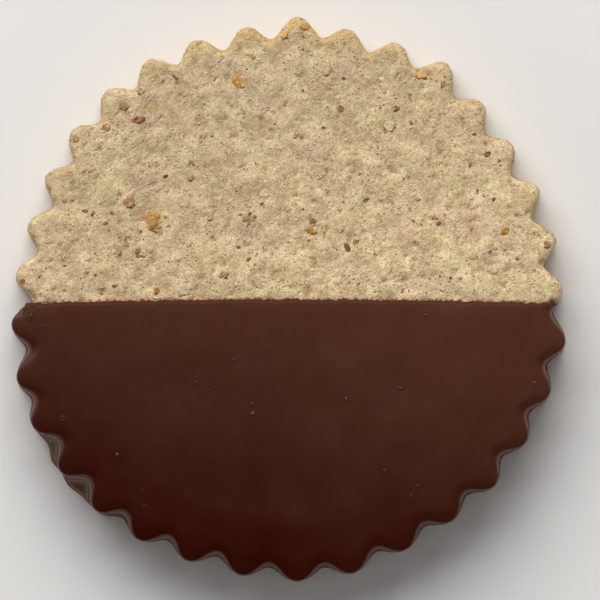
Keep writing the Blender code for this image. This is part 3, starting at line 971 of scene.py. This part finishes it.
def chocolate_material():
    """Set dark chocolate with a soft shine, made lighter towards the dip line by a painted sheen.

    It is thin and red-brown at the line itself, and paler at its foot, where a painted reflection
    lightens it.
    """
    made, tree, shader, spot = new_material("dark_chocolate")
    clouds = use_group(tree, MOTTLING, {"Vector": spot, "Scale": 90.0, "Spread": 0.25})
    fine = use_group(tree, MOTTLING, {"Vector": spot, "Scale": 420.0, "Spread": 0.35})
    # Painted sheen: the base colour is lighter towards the dip line and the right, with soft clouds.
    painted_sheen = rescale(tree, measured_along(tree, spot, (0.28, 1.0, 0.0)), -0.042, 0.009)
    painted_sheen = plus(tree, painted_sheen, rescale(tree, clouds[0], 0.0, 1.0, -0.06, 0.06))
    # Painted shade: the painted sheen is weaker where the coat slopes away from the bare half.
    painted_shoulder_shade = attribute(tree, "painted_shoulder_shade")
    painted_sheen = times(tree, painted_sheen, rescale(tree, painted_shoulder_shade, 0.0, 1.0, 1.0, 0.7))
    colour = blend(tree, painted_sheen, paint(45, 5, 0), paint(76, 43, 29))

    # Painted reflection: the foot and the coat's low sides are paler.
    foot = attribute(tree, "foot")
    colour = blend(tree, times(tree, foot, 0.75), colour, paint(100, 65, 50))
    thin = attribute(tree, "thin")
    ragged = use_group(tree, MOTTLING, {"Vector": spot, "Scale": 1500.0, "Spread": 0.2})
    edge = times(tree, thin, rescale(tree, ragged[0], 0.0, 1.0, 0.5, 1.0))
    colour = blend(tree, edge, colour, paint(86, 25, 0))
    tree.links.new(colour, shader.inputs["Base Color"])
    rough = rescale(tree, fine[0], 0.0, 1.0, 0.23, 0.28)
    rough = plus(tree, rough, times(tree, thin, 0.7))
    tree.links.new(rough, shader.inputs["Roughness"])
    shader.inputs["Specular IOR Level"].default_value = 0.4
    shader.inputs["Specular Tint"].default_value = (1.0, 0.84, 0.72, 1.0)
    add_bump(tree, shader, fine[0], 0.004 * MM)
    return made


def floor_material():
    """Plain pale matt board."""
    made, tree, shader, spot = new_material("pale_board")
    clouds = use_group(tree, MOTTLING, {"Vector": spot, "Scale": 6.0, "Spread": 0.3})
    colour = blend(tree, clouds[0], paint(226, 224, 221), paint(230, 228, 225))
    tree.links.new(colour, shader.inputs["Base Color"])
    shader.inputs["Roughness"].default_value = 0.8
    return made


# ---------------------------------------------------------------- the piece itself

form = biscuit_mesh()
surface = BVHTree.FromBMesh(form)
biscuit = finish_mesh(form, "shortbread_biscuit", crumb_material())
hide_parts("biscuit")

form = coat_mesh()
glaze = BVHTree.FromBMesh(form)
coat = finish_mesh(form, "dark_chocolate_coat", chocolate_material())
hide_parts("chocolate_coat")

draw = random.Random(SEED)
beads_piece(glaze, coat.data.materials[0], draw)
crumbs = nut_material("choc_crumbs", (92, 52, 32), (44, 20, 10), 0.9, 0.03)
corner_piece(glaze, crumbs, draw)

# The kinds of chips: name, its two colours, roughness, the share that crumb hides, those listed,
# those scattered as (where, count, least, most) in mm, flatness, and how far they stand out.
KINDS = (
    ("amber_nuts", (188, 134, 50), (160, 108, 36), 0.35, 0.2, AMBER_CHIPS,
     (("top", 12, 0.3, 0.7), ("side", 14, 0.4, 1.6), ("under", 6, 0.4, 1.2)), 0.8, 0.04),
    ("golden_nuts", (188, 170, 94), (176, 150, 88), 0.5, 0.6, GOLDEN_CHIPS,
     (("top", 60, 0.3, 0.9), ("side", 40, 0.4, 1.4), ("under", 30, 0.4, 1.2)), 0.8, 0.02),
    ("red_skins", (152, 84, 56), (104, 52, 34), 0.7, 0.5, RED_CHIPS,
     (("top", 40, 0.25, 0.6), ("side", 30, 0.3, 1.0), ("under", 20, 0.3, 0.9)), 0.6, 0.03),
    ("brown_nuts", (172, 132, 88), (126, 88, 56), 0.7, 0.5, BROWN_CHIPS,
     (("top", 80, 0.3, 1.0), ("side", 36, 0.3, 1.3), ("under", 30, 0.3, 1.0)), 0.8, 0.02),
    ("pale_nuts", (214, 194, 162), (196, 174, 144), 0.7, 0.7, PALE_CHIPS,
     (("top", 70, 0.3, 0.9), ("side", 40, 0.4, 1.5), ("under", 30, 0.4, 1.2)), 0.8, 0.03),
    # Dark skins, and dark slivers at the lower edges of the larger chips as painted shadow.
    ("dark_skins_and_shadows", (124, 90, 64), (68, 44, 30), 0.7, 0.5, DARK_CHIPS + shadow_slivers_below(),
     (("top", 190, 0.12, 0.34), ("side", 110, 0.15, 0.6), ("under", 90, 0.15, 0.5)), 0.6, 0.03),
    ("pale_grains", (216, 198, 164), (202, 182, 148), 0.7, 0.3, (),
     (("top", 1500, 0.2, 0.4), ("side", 800, 0.22, 0.5), ("under", 500, 0.22, 0.45)), 1.0, 0.08),
    ("golden_grains", (200, 176, 130), (186, 158, 112), 0.7, 0.3, (),
     (("top", 700, 0.2, 0.4), ("side", 700, 0.22, 0.5), ("under", 400, 0.22, 0.45)), 1.0, 0.08),
)
for number, (name, first, second, rough, dusted, listed, scattered, flat, rise) in enumerate(KINDS):
    material = nut_material(name, first, second, rough, dusted)
    chips_piece(name, surface, material, listed, scattered, flat, rise, SEED + number)

# ---------------------------------------------------------------- floor, light and camera

KEY_AT = (-0.15, 0.68, 0.7)
KEY_SIZE = 0.9
KEY_POWER = 12.3
TENT_LOW = 1.3  # strengths of the white surround: near the horizon, high up, straight overhead
TENT_HIGH = 0.0
TENT_OVERHEAD = 0.02
VIEW_MIDDLE = (1.445 * MM, -0.073 * MM)
VIEW_WIDTH = 75.96 * MM
VIEW_HEIGHT = 10.3 * MM  # where the view is that wide
VIEW_DISTANCE = 1.5
SENSOR = 36


def add_floor():
    """A wide pale board just under the biscuit."""
    bm = bmesh.new()
    bmesh.ops.create_grid(bm, x_segments=1, y_segments=1, size=1.5)
    bmesh.ops.translate(bm, verts=bm.verts[:], vec=(0, 0, -0.02 * MM))
    mesh = bpy.data.meshes.new("pale_board")
    bm.to_mesh(mesh)
    bm.free()
    mesh.materials.append(floor_material())
    board = bpy.data.objects.new("pale_board", mesh)
    bpy.context.scene.collection.objects.link(board)


def add_softbox(name, where, size, power):
    """A square light at a place, turned to the biscuit."""
    light = bpy.data.lights.new(name, "AREA")
    light.size = size
    light.energy = power
    lamp = bpy.data.objects.new(name, light)
    lamp.location = where
    lamp.rotation_euler = Vector(where).to_track_quat("Z", "Y").to_euler()
    bpy.context.scene.collection.objects.link(lamp)


def add_camera(middle, width, distance):
    """A long lens straight above that takes in this width at the biscuit's top."""
    lens = bpy.data.cameras.new("camera")
    lens.sensor_width = SENSOR
    lens.lens = SENSOR * distance / width
    lens.clip_end = 10
    camera = bpy.data.objects.new("camera", lens)
    camera.location = (middle[0], middle[1], VIEW_HEIGHT + distance)
    bpy.context.scene.collection.objects.link(camera)
    bpy.context.scene.camera = camera


def add_tent(low, high, overhead):
    """A soft white surround that darkens high up, with a faint panel straight overhead."""
    world = bpy.data.worlds.new("tent")
    world.use_nodes = True
    tree = world.node_tree
    way = add_node(tree, "TexCoord").outputs["Generated"]
    up = add_node(tree, "SeparateXYZ", {0: way}).outputs["Z"]
    tent = rescale(tree, up, 0.1, 0.78, low, high)
    panel = rescale(tree, up, 0.93, 0.985, 0.0, overhead - high)
    tree.links.new(plus(tree, tent, panel), tree.nodes["Background"].inputs["Strength"])
    tree.nodes["Background"].inputs["Color"].default_value = (1, 1, 1, 1)
    bpy.context.scene.world = world


add_floor()
add_softbox("key", KEY_AT, KEY_SIZE, KEY_POWER)
add_tent(TENT_LOW, TENT_HIGH, TENT_OVERHEAD)
bpy.context.scene.view_settings.view_transform = "Standard"
add_camera(VIEW_MIDDLE, VIEW_WIDTH, VIEW_DISTANCE)
